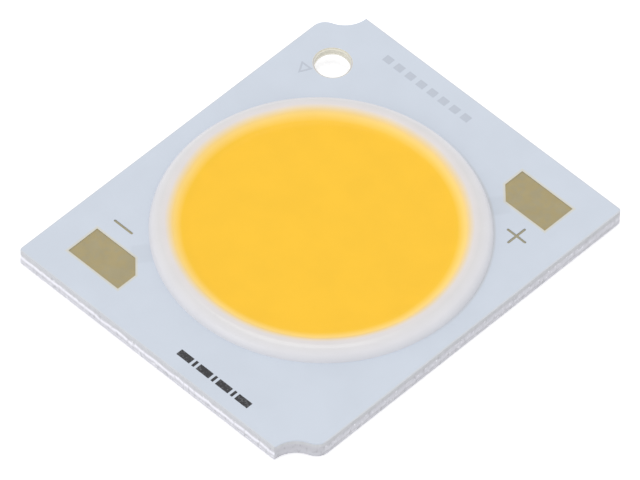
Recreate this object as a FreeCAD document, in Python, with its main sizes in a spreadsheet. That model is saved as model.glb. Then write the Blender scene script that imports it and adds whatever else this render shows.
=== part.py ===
import FreeCAD, Part
import os
import Sketcher

# A chip-on-board light source. An aluminium plate carries a thin white circuit board. In a round
# window of the board, rows of light-emitting dies sit straight on the aluminium, wired in series
# from one copper land to the other. A white resin ring holds the yellow phosphor resin over them.
# The origin is the middle of the plate's underside. +X runs along the plate's long side, +Z is the
# way the light leaves, and the plus pad is in the +X, -Y corner. Sizes are millimetres.

doc = FreeCAD.newDocument("light_source")

# Driving dimensions

SIZES = [
    ("plate_length", "24.0", "long side of the plate"),
    ("plate_width", "20.0", "short side of the plate"),
    ("plate_thickness", "0.7", "aluminium"),
    ("sheet_thickness", "0.05", "adhesive sheet between plate and board"),
    ("board_thickness", "0.18", "resin board without its copper"),
    ("copper_thickness", "0.035", "copper on the board"),
    ("mask_thickness", "0.07", "white mask on the bare board, which buries the copper's edges"),
    ("corner_round", "0.15", "the two plain corners"),
    ("scallop_radius", "1.6", "screw clearance scooped out of the other two corners"),
    ("scallop_round", "0.85", "the scallop's end on the long side"),
    ("hole_diameter", "1.9", "locating hole"),
    ("hole_from_end", "3.45", "hole's middle to the plate's short side"),
    ("hole_from_side", "2.5", "hole's middle to the plate's long side"),
    ("hole_mask_gap", "0.1", "mask kept back round the hole"),
    ("pad_width", "2.1", "open solder pad, along the long side"),
    ("pad_length", "3.6", "open solder pad, along the short side"),
    ("pad_chamfer", "0.82", "corner cut off towards the ring"),
    ("pad_from_end", "2.8", "pad's middle to the plate's short side"),
    ("pad_from_side", "3.63", "pad's middle to the plate's long side"),
    ("pad_lap", "0.15", "copper hidden under the mask round a pad"),
    ("link_width", "1.2", "copper strip from the pad to the land"),
    ("mark_length", "1.35", "minus bar, and each arm of the plus"),
    ("mark_width", "0.15", "line width of the marks"),
    ("mark_lap", "0.08", "copper hidden under the mask round a mark"),
    ("plus_from_end", "5.14", "plus mark to the plate's short side"),
    ("plus_from_side", "2.61", "plus mark to the plate's long side"),
    ("minus_from_end", "4.88", "minus mark to the plate's short side"),
    ("minus_from_side", "2.71", "minus mark to the plate's long side"),
    ("dam_radius", "8.1", "ring's crest"),
    ("dam_half_width", "0.8", "crest to foot"),
    ("dam_height", "0.6", "crest above the mask"),
    ("mask_setback", "0.3", "ring's inner foot to the mask's round edge"),
    ("sill_width", "0.45", "board left bare inside the ring's foot"),
    ("land_setback", "0.1", "board's window to the land"),
    ("land_lap", "0.3", "land hidden under the mask"),
    ("land_half_angle", "54", "degrees each side of the long centre line"),
    ("fill_rise", "0.19", "flat of the resin above the mask"),
    ("meniscus_radius", "0.93", "curve where the resin climbs the ring"),
    ("die_length", "0.5", "die along its row"),
    ("die_width", "0.5", "die across its row"),
    ("die_thickness", "0.15", "die"),
    ("bond_thickness", "0.02", "adhesive under a die"),
    ("array_margin", "0.55", "window's edge to the middle of a row's last die"),
    ("short_row_length", "8.6", "first die's middle to the last one's in the two outer rows"),
    ("row_count", "5", "rows, all in parallel"),
    ("dies_per_row", "12", "dies in series in a row"),
    ("wire_width", "0.03", "gold wire"),
    ("stitch_length", "0.06", "flattened end where a wire comes down"),
    ("wire_offset", "0.14", "wire's foot to the die's middle"),
    ("wire_loop", "0.2", "top of a wire's loop above the dies"),
]

sheet = doc.addObject("Spreadsheet::Sheet", "Sizes")
for line, (alias, number, note) in enumerate(SIZES, start=1):
    sheet.set("A%d" % line, alias)
    sheet.set("B%d" % line, number)
    sheet.setAlias("B%d" % line, alias)
    sheet.set("C%d" % line, note)
doc.recompute()

# Places that several pieces share, as formulas of the sheet's cells

HALF_LENGTH = "Sizes.plate_length / 2"
HALF_WIDTH = "Sizes.plate_width / 2"
SHEET_BOTTOM = "Sizes.plate_thickness"
BOARD_BOTTOM = SHEET_BOTTOM + " + Sizes.sheet_thickness"
BOARD_TOP = BOARD_BOTTOM + " + Sizes.board_thickness"
COPPER_TOP = BOARD_TOP + " + Sizes.copper_thickness"
MASK_TOP = BOARD_TOP + " + Sizes.mask_thickness"
FILL_TOP = MASK_TOP + " + Sizes.fill_rise"
DIE_BOTTOM = SHEET_BOTTOM + " + Sizes.bond_thickness"
DIE_TOP = DIE_BOTTOM + " + Sizes.die_thickness"

HOLE_X = HALF_LENGTH + " - Sizes.hole_from_end"
HOLE_Y = HALF_WIDTH + " - Sizes.hole_from_side"
HOLE_RADIUS = "Sizes.hole_diameter / 2"

DAM_INNER = "(Sizes.dam_radius - Sizes.dam_half_width)"
DAM_OUTER = "(Sizes.dam_radius + Sizes.dam_half_width)"
DAM_ARC_RADIUS = "((Sizes.dam_half_width ^ 2 + Sizes.dam_height ^ 2) / (2 * Sizes.dam_height))"
DAM_ARC_CENTRE = "(" + MASK_TOP + " + Sizes.dam_height - " + DAM_ARC_RADIUS + ")"
DAM_ARC_HALF_ANGLE = "asin(Sizes.dam_half_width / (" + DAM_ARC_RADIUS + "))"
MASK_WINDOW_RADIUS = "(" + DAM_INNER + " + Sizes.mask_setback)"
WINDOW_RADIUS = "(" + DAM_INNER + " - Sizes.sill_width)"
LAND_INNER = "(" + WINDOW_RADIUS + " + Sizes.land_setback)"
LAND_OUTER = "(" + MASK_WINDOW_RADIUS + " + Sizes.land_lap)"
LANDING_RADIUS = "((" + LAND_INNER + " + " + DAM_INNER + ") / 2)"
ARRAY_RADIUS = "(" + WINDOW_RADIUS + " - Sizes.array_margin)"
OUTER_ROW = "sqrt(" + ARRAY_RADIUS + " ^ 2 - (Sizes.short_row_length / 2) ^ 2)"
ROW_PITCH = "(2 * " + OUTER_ROW + " / (Sizes.row_count - 1))"

PAD_X = "(" + HALF_LENGTH + " - Sizes.pad_from_end)"
PAD_Y = "(" + HALF_WIDTH + " - Sizes.pad_from_side)"
PLUS_PLACE = (HALF_LENGTH + " - Sizes.plus_from_end", "Sizes.plus_from_side - " + HALF_WIDTH)
MINUS_PLACE = ("Sizes.minus_from_end - " + HALF_LENGTH, HALF_WIDTH + " - Sizes.minus_from_side")

# The resin's hollow edge is an arc that touches its flat top and the ring's flank
MENISCUS_CENTRE = "(" + FILL_TOP + " + Sizes.meniscus_radius)"
ARCS_APART = "(" + DAM_ARC_RADIUS + " + Sizes.meniscus_radius)"
ARCS_ACROSS = "sqrt(%s ^ 2 - (%s - %s) ^ 2)" % (ARCS_APART, MENISCUS_CENTRE, DAM_ARC_CENTRE)
MENISCUS_START = "Sizes.dam_radius - " + ARCS_ACROSS
DAM_SHARE = DAM_ARC_RADIUS + " / " + ARCS_APART
MEETING_RADIUS = "Sizes.dam_radius - %s * %s" % (ARCS_ACROSS, DAM_SHARE)
MEETING_HEIGHT = "%s + (%s - %s) * %s" % (DAM_ARC_CENTRE, MENISCUS_CENTRE, DAM_ARC_CENTRE, DAM_SHARE)

# End names of a sketch's edges: its start, its end and, for a curve, its centre
START, END, CENTRE = range(1, 4)
ORIGIN = (-1, 1)

# Two places nearer than this are the same place
CLOSE = 0.001

pieces = []


def value(formula):
    """The number that a formula of the sheet's cells gives."""
    return float(sheet.evalExpression(formula))


def point(across, up):
    """A sketch point from two formulas."""
    return FreeCAD.Vector(value(across), value(up), 0)


def bind(sketch, constraint, formula):
    """Add a dimension to a sketch and tie it to its formula."""
    number = sketch.addConstraint(constraint)
    sketch.setExpression("Constraints[%d]" % number, formula)


def hold(sketch, edge, end, across, up):
    """Hold one end of an edge at its distances from the sketch's origin."""
    bind(sketch, Sketcher.Constraint("DistanceX", *ORIGIN, edge, end, value(across)), across)
    bind(sketch, Sketcher.Constraint("DistanceY", *ORIGIN, edge, end, value(up)), up)


def new_body(label):
    """An empty body that may hold several separate solids."""
    body = doc.addObject("PartDesign::Body", label)
    body.Label = label
    body.AllowCompound = True
    return body


def new_sketch(body, name, role="XY_Plane", height="0"):
    """A sketch on one of the body's own planes, raised by a formula."""
    plane = [feature for feature in body.Origin.OriginFeatures if feature.Role == role][0]
    sketch = body.newObject("Sketcher::SketchObject", name)
    sketch.AttachmentSupport = [(plane, "")]
    sketch.MapMode = "FlatFace"
    sketch.setExpression("AttachmentOffset.Base.z", height)
    return sketch


def draw_outline(sketch, corners):
    """Straight lines through corners given as pairs of formulas, closed at the end."""
    points = [point(across, up) for across, up in corners]
    first = sketch.GeometryCount
    for place, corner in enumerate(points):
        sketch.addGeometry(Part.LineSegment(corner, points[(place + 1) % len(points)]))
    for place, (across, up) in enumerate(corners):
        following = first + (place + 1) % len(corners)
        sketch.addConstraint(Sketcher.Constraint("Coincident", first + place, END, following, START))
        hold(sketch, first + place, START, across, up)


def draw_circle(sketch, across, up, radius):
    """A circle from its middle and radius."""
    edge = sketch.addGeometry(Part.Circle(point(across, up), FreeCAD.Vector(0, 0, 1), value(radius)))
    hold(sketch, edge, CENTRE, across, up)
    bind(sketch, Sketcher.Constraint("Radius", edge, value(radius)), radius)


def draw_slot(sketch, across, up, length, width, upright):
    """A bar with round ends, upright or lying: two half circles joined by tangent lines."""
    radius = value(width) / 2
    reach = "((%s) - (%s)) / 2" % (length, width)
    middle = point(across, up)
    step = FreeCAD.Vector(0, value(reach), 0) if upright else FreeCAD.Vector(value(reach), 0, 0)
    side = FreeCAD.Vector(radius, 0, 0) if upright else FreeCAD.Vector(0, -radius, 0)
    outward = step * (radius / step.Length)
    far_end = Part.Arc(middle + step + side, middle + step + outward, middle + step - side)
    near_end = Part.Arc(middle - step - side, middle - step - outward, middle - step + side)
    far = sketch.addGeometry(far_end)
    left = sketch.addGeometry(Part.LineSegment(middle + step - side, middle - step - side))
    near = sketch.addGeometry(near_end)
    right = sketch.addGeometry(Part.LineSegment(middle - step + side, middle + step + side))
    for one, other in ((far, left), (left, near), (near, right), (right, far)):
        sketch.addConstraint(Sketcher.Constraint("Tangent", one, END, other, START))
    for edge, sign in ((far, "+"), (near, "-")):
        end_across = across if upright else "(%s) %s %s" % (across, sign, reach)
        end_up = "(%s) %s %s" % (up, sign, reach) if upright else up
        hold(sketch, edge, CENTRE, end_across, end_up)
        bind(sketch, Sketcher.Constraint("Radius", edge, radius), "(%s) / 2" % width)


def pad_up(body, sketch, name, thickness):
    """Thicken a sketch upwards."""
    pad = body.newObject("PartDesign::Pad", name)
    pad.Profile = sketch
    pad.setExpression("Length", thickness)
    doc.recompute()
    return pad


def pocket_up(body, sketch, name):
    """Cut a sketch upwards through everything, and make sure that it cut."""
    before = body.Shape.Volume
    pocket = body.newObject("PartDesign::Pocket", name)
    pocket.Profile = sketch
    pocket.Type = "ThroughAll"
    pocket.Reversed = True
    doc.recompute()
    if not pocket.Shape.Volume < before:
        raise RuntimeError(name + " cuts nothing")
    return pocket


def upright_edges(shape, places):
    """Names of the upright edges that stand at the places."""
    names = []
    for number, edge in enumerate(shape.Edges, start=1):
        low, high = edge.Vertexes[0].Point, edge.Vertexes[-1].Point
        upright = abs(low.x - high.x) + abs(low.y - high.y) < CLOSE < abs(low.z - high.z)
        if upright and any(abs(low.x - x) + abs(low.y - y) < CLOSE for x, y in places):
            names.append("Edge%d" % number)
    return names


def round_edges(body, base, name, edges, radius):
    """Round the named edges of a feature."""
    fillet = body.newObject("PartDesign::Fillet", name)
    fillet.Base = (base, edges)
    fillet.setExpression("Radius", radius)
    doc.recompute()
    return fillet


def cut_away(label, base, tool):
    """The base piece less everything that lies in it."""
    cut = doc.addObject("Part::Cut", label)
    cut.Label = label
    cut.Base = base
    cut.Tool = tool
    cut.Refine = True
    doc.recompute()
    return cut


def group(name, members):
    """Several pieces taken together, as the tool of a cut."""
    compound = doc.addObject("Part::Compound", name)
    compound.Links = members
    doc.recompute()
    return compound


# The punched sheets: plate, adhesive, board and mask share one outline


def punched_sheet(label, bottom, thickness, hole_radius):
    """One layer of the laminate, with its scallops, rounded corners and locating hole."""
    body = new_body(label)
    outline = new_sketch(body, label + "_outline", height=bottom)
    left, right = "-" + HALF_LENGTH, HALF_LENGTH
    front, back = "-" + HALF_WIDTH, HALF_WIDTH
    draw_outline(outline, [(left, front), (right, front), (right, back), (left, back)])
    pad_up(body, outline, label + "_blank", thickness)
    scallops = new_sketch(body, label + "_scallop_circles", height=bottom)
    draw_circle(scallops, right, back, "Sizes.scallop_radius")
    draw_circle(scallops, left, front, "Sizes.scallop_radius")
    scooped = pocket_up(body, scallops, label + "_scallops")
    corner = (value(HALF_LENGTH), value(HALF_WIDTH))
    corners = [(-corner[0], corner[1]), (corner[0], -corner[1])]
    edges = upright_edges(scooped.Shape, corners)
    rounded = round_edges(body, scooped, label + "_corners", edges, "Sizes.corner_round")
    end = (value(HALF_LENGTH + " - Sizes.scallop_radius"), corner[1])
    edges = upright_edges(rounded.Shape, [end, (-end[0], -end[1])])
    round_edges(body, rounded, label + "_scallop_ends", edges, "Sizes.scallop_round")
    hole = new_sketch(body, label + "_hole_circle", height=bottom)
    draw_circle(hole, HOLE_X, HOLE_Y, hole_radius)
    pocket_up(body, hole, label + "_hole")
    return body


def cut_window(body, name, bottom):
    """The round window in the middle of a layer."""
    window = new_sketch(body, name + "_circle", height=bottom)
    draw_circle(window, "0", "0", WINDOW_RADIUS)
    pocket_up(body, window, name)


def make_base_plate():
    """Aluminium plate, which also takes the heat away from the dies."""
    pieces.append(punched_sheet("base_plate", "0", "Sizes.plate_thickness", HOLE_RADIUS))


def make_bonding_sheet():
    """Adhesive between the plate and the board."""
    body = punched_sheet("bonding_sheet", SHEET_BOTTOM, "Sizes.sheet_thickness", HOLE_RADIUS)
    cut_window(body, "bonding_sheet_window", SHEET_BOTTOM)
    pieces.append(body)


def make_circuit_board():
    """Resin board with the round window that the dies sit in."""
    body = punched_sheet("circuit_board", BOARD_BOTTOM, "Sizes.board_thickness", HOLE_RADIUS)
    cut_window(body, "circuit_board_window", BOARD_BOTTOM)
    pieces.append(body)


# Copper: each side has a solder pad, a link and a curved land for the wires


def pad_corners(side, lap):
    """A pad's five corners. Side "" is the plus pad, and side "-" is its copy turned half round."""
    half_width = "(Sizes.pad_width / 2 + %s)" % lap
    half_length = "(Sizes.pad_length / 2 + %s)" % lap
    inner = PAD_X + " - " + half_width
    outer = PAD_X + " + " + half_width
    low = "-" + PAD_Y + " - " + half_length
    high = "-" + PAD_Y + " + " + half_length
    corners = [
        (inner, low),
        (outer, low),
        (outer, high),
        (inner + " + Sizes.pad_chamfer", high),
        (inner, high + " - Sizes.pad_chamfer"),
    ]
    return [(side + "(" + across + ")", side + "(" + up + ")") for across, up in corners]


def link_corners(side):
    """A straight strip from the land's middle to the pad's middle, in line with the ring's centre."""
    pad_distance = "sqrt(%s ^ 2 + %s ^ 2)" % (PAD_X, PAD_Y)
    cosine = PAD_X + " / " + pad_distance
    sine = "-" + PAD_Y + " / " + pad_distance
    land_middle = "(%s + %s) / 2" % (LAND_INNER, LAND_OUTER)
    corners = []
    for out, half in ((land_middle, "-"), (pad_distance, "-"), (pad_distance, ""), (land_middle, "")):
        sideways = half + "Sizes.link_width / 2"
        across = "(%s) * %s - (%s) * %s" % (out, cosine, sideways, sine)
        up = "(%s) * %s + (%s) * %s" % (out, sine, sideways, cosine)
        corners.append((side + "(" + across + ")", side + "(" + up + ")"))
    return corners


def draw_land(sketch, side):
    """A ring's sector: two arcs about the origin and the two lines that close it."""
    turn = FreeCAD.Rotation(FreeCAD.Vector(0, 0, 1), value("Sizes.land_half_angle"))
    ahead = FreeCAD.Vector(-1 if side else 1, 0, 0)
    first, last = turn.inverted().multVec(ahead), turn.multVec(ahead)
    inner, outer = value(LAND_INNER), value(LAND_OUTER)
    outer_arc = sketch.addGeometry(Part.Arc(first * outer, ahead * outer, last * outer))
    last_line = sketch.addGeometry(Part.LineSegment(last * outer, last * inner))
    inner_arc = sketch.addGeometry(Part.Arc(first * inner, ahead * inner, last * inner))
    first_line = sketch.addGeometry(Part.LineSegment(first * inner, first * outer))
    joints = [
        (outer_arc, END, last_line, START),
        (last_line, END, inner_arc, END),
        (inner_arc, START, first_line, START),
        (first_line, END, outer_arc, START),
    ]
    for joint in joints:
        sketch.addConstraint(Sketcher.Constraint("Coincident", *joint))
    for edge, radius in ((outer_arc, LAND_OUTER), (inner_arc, LAND_INNER)):
        sketch.addConstraint(Sketcher.Constraint("Coincident", edge, CENTRE, *ORIGIN))
        bind(sketch, Sketcher.Constraint("Radius", edge, value(radius)), radius)
        rise = "%s * sin(Sizes.land_half_angle * 1 deg)" % radius
        low, high = (side + "(-" + rise + ")", side + "(" + rise + ")")
        bind(sketch, Sketcher.Constraint("DistanceY", *ORIGIN, edge, START, value(low)), low)
        bind(sketch, Sketcher.Constraint("DistanceY", *ORIGIN, edge, END, value(high)), high)


def make_circuit(label, side):
    """The copper of one side, in one piece."""
    body = new_body(label)
    land = new_sketch(body, label + "_land_outline", height=BOARD_TOP)
    draw_land(land, side)
    pad_up(body, land, label + "_land", "Sizes.copper_thickness")
    link = new_sketch(body, label + "_link_outline", height=BOARD_TOP)
    draw_outline(link, link_corners(side))
    pad_up(body, link, label + "_link", "Sizes.copper_thickness")
    pad = new_sketch(body, label + "_pad_outline", height=BOARD_TOP)
    draw_outline(pad, pad_corners(side, "Sizes.pad_lap"))
    pad_up(body, pad, label + "_pad", "Sizes.copper_thickness")
    pieces.append(body)
    return body


MARK_BARS = [("plus", PLUS_PLACE, False), ("plus", PLUS_PLACE, True), ("minus", MINUS_PLACE, True)]


def mark_sketches(body, prefix, wanted, lap, bottom):
    """One sketch for each bar of the wanted marks, grown all round by a lap."""
    sketches = []
    for mark, (across, up), upright in MARK_BARS:
        if mark in wanted:
            sketch = new_sketch(body, "%s_%s_bar" % (prefix, mark), height=bottom)
            length = "Sizes.mark_length + 2 * %s" % lap
            width = "Sizes.mark_width + 2 * %s" % lap
            draw_slot(sketch, across, up, length, width, upright)
            sketches.append(sketch)
    return sketches


def make_mark(mark):
    """A copper island that shows through the mask as a sign."""
    body = new_body(mark + "_mark")
    for sketch in mark_sketches(body, "island", [mark], "Sizes.mark_lap", BOARD_TOP):
        pad_up(body, sketch, sketch.Name + "_copper", "Sizes.copper_thickness")
    pieces.append(body)
    return body


# White mask: one coat over board and copper, open where metal or light must show


def make_solder_mask(copper):
    """The mask, with the copper that it buries taken out of its underside."""
    gap_radius = HOLE_RADIUS + " + Sizes.hole_mask_gap"
    body = punched_sheet("mask_blank", BOARD_TOP, "Sizes.mask_thickness", gap_radius)
    window = new_sketch(body, "mask_window_circle", height=BOARD_TOP)
    draw_circle(window, "0", "0", MASK_WINDOW_RADIUS)
    pocket_up(body, window, "mask_window")
    for name, side in (("plus", ""), ("minus", "-")):
        opening = new_sketch(body, name + "_pad_opening", height=BOARD_TOP)
        draw_outline(opening, pad_corners(side, "0"))
        pocket_up(body, opening, name + "_pad_window")
    for sketch in mark_sketches(body, "opening", ["plus", "minus"], "0", BOARD_TOP):
        pocket_up(body, sketch, sketch.Name + "_window")
    pieces.append(cut_away("solder_mask", body, copper))


# Resins: both are turned profiles, drawn in the plane that holds the Z axis

# Straight runs that stand for the bead's arc, an even number so that one corner is its crest
BEAD_RUNS = 6


def turn_profile(body, corners, name):
    """A closed outline of straight lines, turned once round the Z axis."""
    profile = new_sketch(body, name + "_profile", role="XZ_Plane")
    draw_outline(profile, corners)
    revolve(body, profile, name)


def revolve(body, sketch, name):
    """Turn a profile once round the Z axis."""
    turned = body.newObject("PartDesign::Revolution", name)
    turned.Profile = sketch
    turned.ReferenceAxis = (sketch, ["V_Axis"])
    turned.Angle = 360
    doc.recompute()


def bead_corners():
    """Corners on the bead's arc, from its outer foot over the crest towards the inner foot."""
    corners = []
    for run in range(1, BEAD_RUNS):
        angle = "(%s * (1 - 2 * %d / %d))" % (DAM_ARC_HALF_ANGLE, run, BEAD_RUNS)
        across = "Sizes.dam_radius + %s * sin(%s)" % (DAM_ARC_RADIUS, angle)
        corners.append((across, "%s + %s * cos(%s)" % (DAM_ARC_CENTRE, DAM_ARC_RADIUS, angle)))
    return corners


def make_dam_ring(lands):
    """A round-topped bead. Its foot is on the mask, and inside the mask's edge on board and lands."""
    body = new_body("dam_blank")
    feet = [
        (DAM_INNER, MASK_TOP),
        (DAM_INNER, BOARD_TOP),
        (MASK_WINDOW_RADIUS, BOARD_TOP),
        (MASK_WINDOW_RADIUS, MASK_TOP),
        (DAM_OUTER, MASK_TOP),
    ]
    turn_profile(body, feet + bead_corners(), "dam_bead")
    ring = cut_away("dam_ring", body, lands)
    pieces.append(ring)
    return ring


def join_lines(sketch, corners):
    """An open run of lines, each corner held. Gives the numbers of the lines."""
    points = [point(across, up) for across, up in corners]
    lines = [sketch.addGeometry(Part.LineSegment(*pair)) for pair in zip(points, points[1:])]
    for one, other in zip(lines, lines[1:]):
        sketch.addConstraint(Sketcher.Constraint("Coincident", one, END, other, START))
    for line, (across, up) in zip(lines, corners):
        hold(sketch, line, START, across, up)
    hold(sketch, lines[-1], END, *corners[-1])
    return lines


def make_phosphor_fill(ring_and_contents):
    """Resin poured in the ring. It wets the bead's flank, so its edge climbs in a hollow curve."""
    body = new_body("fill_blank")
    profile = new_sketch(body, "fill_profile", role="XZ_Plane")
    corners = [
        (MEETING_RADIUS, MEETING_HEIGHT),
        ("Sizes.dam_radius", MEETING_HEIGHT),
        ("Sizes.dam_radius", MASK_TOP),
        (DAM_INNER, MASK_TOP),
        (DAM_INNER, BOARD_TOP),
        (WINDOW_RADIUS, BOARD_TOP),
        (WINDOW_RADIUS, SHEET_BOTTOM),
        ("0", SHEET_BOTTOM),
        ("0", FILL_TOP),
        (MENISCUS_START, FILL_TOP),
    ]
    lines = join_lines(profile, corners)
    meeting, turn_up = point(*corners[0]), point(*corners[-1])
    middle = point(MENISCUS_START, MENISCUS_CENTRE)
    radius = value("Sizes.meniscus_radius")
    lowest = middle + ((meeting + turn_up) * 0.5 - middle).normalize() * radius
    curve = profile.addGeometry(Part.Arc(turn_up, lowest, meeting))
    profile.addConstraint(Sketcher.Constraint("Coincident", lines[-1], END, curve, START))
    profile.addConstraint(Sketcher.Constraint("Coincident", curve, END, lines[0], START))
    bind(profile, Sketcher.Constraint("Radius", curve, radius), "Sizes.meniscus_radius")
    revolve(body, profile, "fill_puddle")
    pieces.append(cut_away("phosphor_fill", body, ring_and_contents))


# Dies: every row spans its own chord of the round field, with the same number of dies


def row_place(row):
    """A row's distance from the long centre line, and its last die's from the short one."""
    up = "((%d - (Sizes.row_count + 1) / 2) * %s)" % (row, ROW_PITCH)
    reach = "sqrt(%s ^ 2 - %s ^ 2)" % (ARRAY_RADIUS, up)
    return up, reach


def repeat(body, sketch, feature, length, count):
    """Copies of a feature, evenly spaced along X over a length."""
    pattern = body.newObject("PartDesign::LinearPattern", feature.Name + "_pattern")
    pattern.Originals = [feature]
    pattern.Direction = (sketch, ["H_Axis"])
    pattern.setExpression("Length", length)
    pattern.setExpression("Occurrences", count)
    body.Tip = pattern
    doc.recompute()


def make_row(label, row, bottom, thickness):
    """Equal blocks in a row, one for each die."""
    up, reach = row_place(row)
    body = new_body(label)
    sketch = new_sketch(body, label + "_outline", height=bottom)
    left, right = ("-%s - Sizes.die_length / 2" % reach, "-%s + Sizes.die_length / 2" % reach)
    low, high = ("%s - Sizes.die_width / 2" % up, "%s + Sizes.die_width / 2" % up)
    draw_outline(sketch, [(left, low), (right, low), (right, high), (left, high)])
    block = pad_up(body, sketch, label + "_block", thickness)
    repeat(body, sketch, block, "2 * " + reach, "round(Sizes.dies_per_row)")
    pieces.append(body)
    return body


# Wires: square in section, because there are many of them


def draw_wire(body, name, up, start, end):
    """A wire that rises from its start and slopes down to a flattened stitch at its end."""
    start_x, start_z = start
    end_x, end_z = end
    top = DIE_TOP + " + Sizes.wire_loop"
    sketch = new_sketch(body, name + "_outline", role="XZ_Plane", height="-" + up)
    outline = [
        (start_x + " - Sizes.wire_width / 2", start_z),
        (start_x + " + Sizes.wire_width / 2", start_z),
        (start_x + " + Sizes.wire_width / 2", top + " - Sizes.wire_width"),
        (end_x + " - Sizes.stitch_length / 2", end_z),
        (end_x + " + Sizes.stitch_length / 2", end_z),
        (start_x + " - Sizes.wire_width / 2", top),
    ]
    draw_outline(sketch, outline)
    wire = pad_up(body, sketch, name, "Sizes.wire_width")
    wire.SideType = "Symmetric"
    doc.recompute()
    return sketch, wire


def make_wires(row):
    """Land to die, die to die along the row, and die to land."""
    up, reach = row_place(row)
    step = "(2 * %s / (Sizes.dies_per_row - 1))" % reach
    landing = "sqrt(%s ^ 2 - %s ^ 2)" % (LANDING_RADIUS, up)
    label = "wires_row_%d" % row
    body = new_body(label)
    first_die = "-%s - Sizes.wire_offset" % reach
    draw_wire(body, label + "_first", up, ("-" + landing, COPPER_TOP), (first_die, DIE_TOP))
    last_die = reach + " + Sizes.wire_offset"
    draw_wire(body, label + "_last", up, (last_die, DIE_TOP), (landing, COPPER_TOP))
    leaving = "-%s + Sizes.wire_offset" % reach
    arriving = "-%s + %s - Sizes.wire_offset" % (reach, step)
    sketch, link = draw_wire(body, label + "_link", up, (leaving, DIE_TOP), (arriving, DIE_TOP))
    repeat(body, sketch, link, "2 * %s - %s" % (reach, step), "round(Sizes.dies_per_row) - 1")
    pieces.append(body)
    return body


# Assembly

make_base_plate()
make_bonding_sheet()
make_circuit_board()
anode = make_circuit("anode_circuit", "")
cathode = make_circuit("cathode_circuit", "-")
islands = [make_mark("plus"), make_mark("minus")]
make_solder_mask(group("all_copper", [anode, cathode] + islands))
ring = make_dam_ring(group("lands_under_dam", [anode, cathode]))

in_resin = [ring, anode, cathode]
for row in range(1, round(value("Sizes.row_count")) + 1):
    bonds = make_row("die_bond_row_%d" % row, row, SHEET_BOTTOM, "Sizes.bond_thickness")
    dies = make_row("dies_row_%d" % row, row, DIE_BOTTOM, "Sizes.die_thickness")
    in_resin += [bonds, dies, make_wires(row)]
make_phosphor_fill(group("ring_and_contents", in_resin))

# Checks and export

doc.recompute()
for item in doc.Objects:
    if "Invalid" in item.State or "Error" in item.State:
        raise RuntimeError(item.Label + " failed: " + ", ".join(item.State))
for piece in pieces:
    if piece.Shape.isNull() or not piece.Shape.isValid():
        raise RuntimeError(piece.Label + " has no valid shape")

os.makedirs("parts", exist_ok=True)
for piece in pieces:
    piece.Shape.exportStep("parts/%s.step" % piece.Label)
    print(piece.Label, len(piece.Shape.Solids), "solids", round(piece.Shape.Volume, 4), "mm3")
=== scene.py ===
"""Looks for a chip-on-board light source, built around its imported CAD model.

Sizes are metres in the model's own frame: the middle of the plate's underside is the origin, +X runs
along the plate's long side and +Z is the way the light leaves.
"""

import math

import bpy
import numpy as np
from mathutils import Matrix, Vector


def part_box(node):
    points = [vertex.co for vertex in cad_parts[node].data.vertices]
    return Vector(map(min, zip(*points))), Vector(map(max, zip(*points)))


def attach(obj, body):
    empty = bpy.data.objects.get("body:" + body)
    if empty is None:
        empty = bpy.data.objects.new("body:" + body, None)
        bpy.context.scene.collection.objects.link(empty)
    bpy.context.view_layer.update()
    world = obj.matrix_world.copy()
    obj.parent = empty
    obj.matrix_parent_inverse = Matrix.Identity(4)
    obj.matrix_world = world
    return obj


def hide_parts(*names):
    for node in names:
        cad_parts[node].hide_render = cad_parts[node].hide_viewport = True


bl_info = {
    "name": "Chip-on-board light source",
    "version": (1, 0, 0),
    "blender": (4, 5, 0),
    "location": "3D View > Sidebar > Light Source",
    "description": "Dresses the light source's CAD model and sets it on a pale studio floor",
    "category": "Object",
}

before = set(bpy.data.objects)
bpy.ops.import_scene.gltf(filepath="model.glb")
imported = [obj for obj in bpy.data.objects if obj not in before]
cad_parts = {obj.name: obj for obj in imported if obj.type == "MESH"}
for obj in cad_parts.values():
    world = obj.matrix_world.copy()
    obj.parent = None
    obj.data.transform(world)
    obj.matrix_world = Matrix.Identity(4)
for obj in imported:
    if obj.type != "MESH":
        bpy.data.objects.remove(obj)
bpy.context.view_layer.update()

MM = 0.001

# Heights and reaches that the CAD model gives. A piece's high corner is its reach along X, Y and Z.
PLATE_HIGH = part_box("base_plate")[1]
RING_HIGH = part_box("dam_ring")[1]
MASK_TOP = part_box("solder_mask")[1].z
BOARD_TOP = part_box("anode_circuit")[0].z

# Turned pieces have this many sides, and edges sharper than the crease angle stay sharp
TURN_SIDES = 256
CREASE = math.radians(40)

BLACK = (0, 0, 0)
WHITE = (1.0, 1.0, 1.0)


def linear(red, green, blue):
    """A display colour from 0 to 255 as the linear light that Blender's sockets take."""
    shares = np.array([red, green, blue]) / 255
    light = np.where(shares <= 0.04045, shares / 12.92, ((shares + 0.055) / 1.055) ** 2.4)
    return tuple(float(share) for share in light)


# Properties


def length(name, description, millimetres):
    """A length property, written in millimetres."""
    return bpy.props.FloatProperty(
        name=name, description=description, default=millimetres * MM, unit="LENGTH", precision=5
    )


def angle(name, description, degrees):
    """An angle property, written in degrees."""
    return bpy.props.FloatProperty(
        name=name, description=description, default=math.radians(degrees), subtype="ANGLE"
    )


def colour(name, description, red, green, blue):
    """A colour property, written as it shows on a display."""
    return bpy.props.FloatVectorProperty(
        name=name, description=description, default=linear(red, green, blue), subtype="COLOR", min=0, max=1
    )


def share(name, description, default):
    """A property from 0 to 1."""
    return bpy.props.FloatProperty(
        name=name, description=description, default=default, min=0, max=1, subtype="FACTOR"
    )


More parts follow.
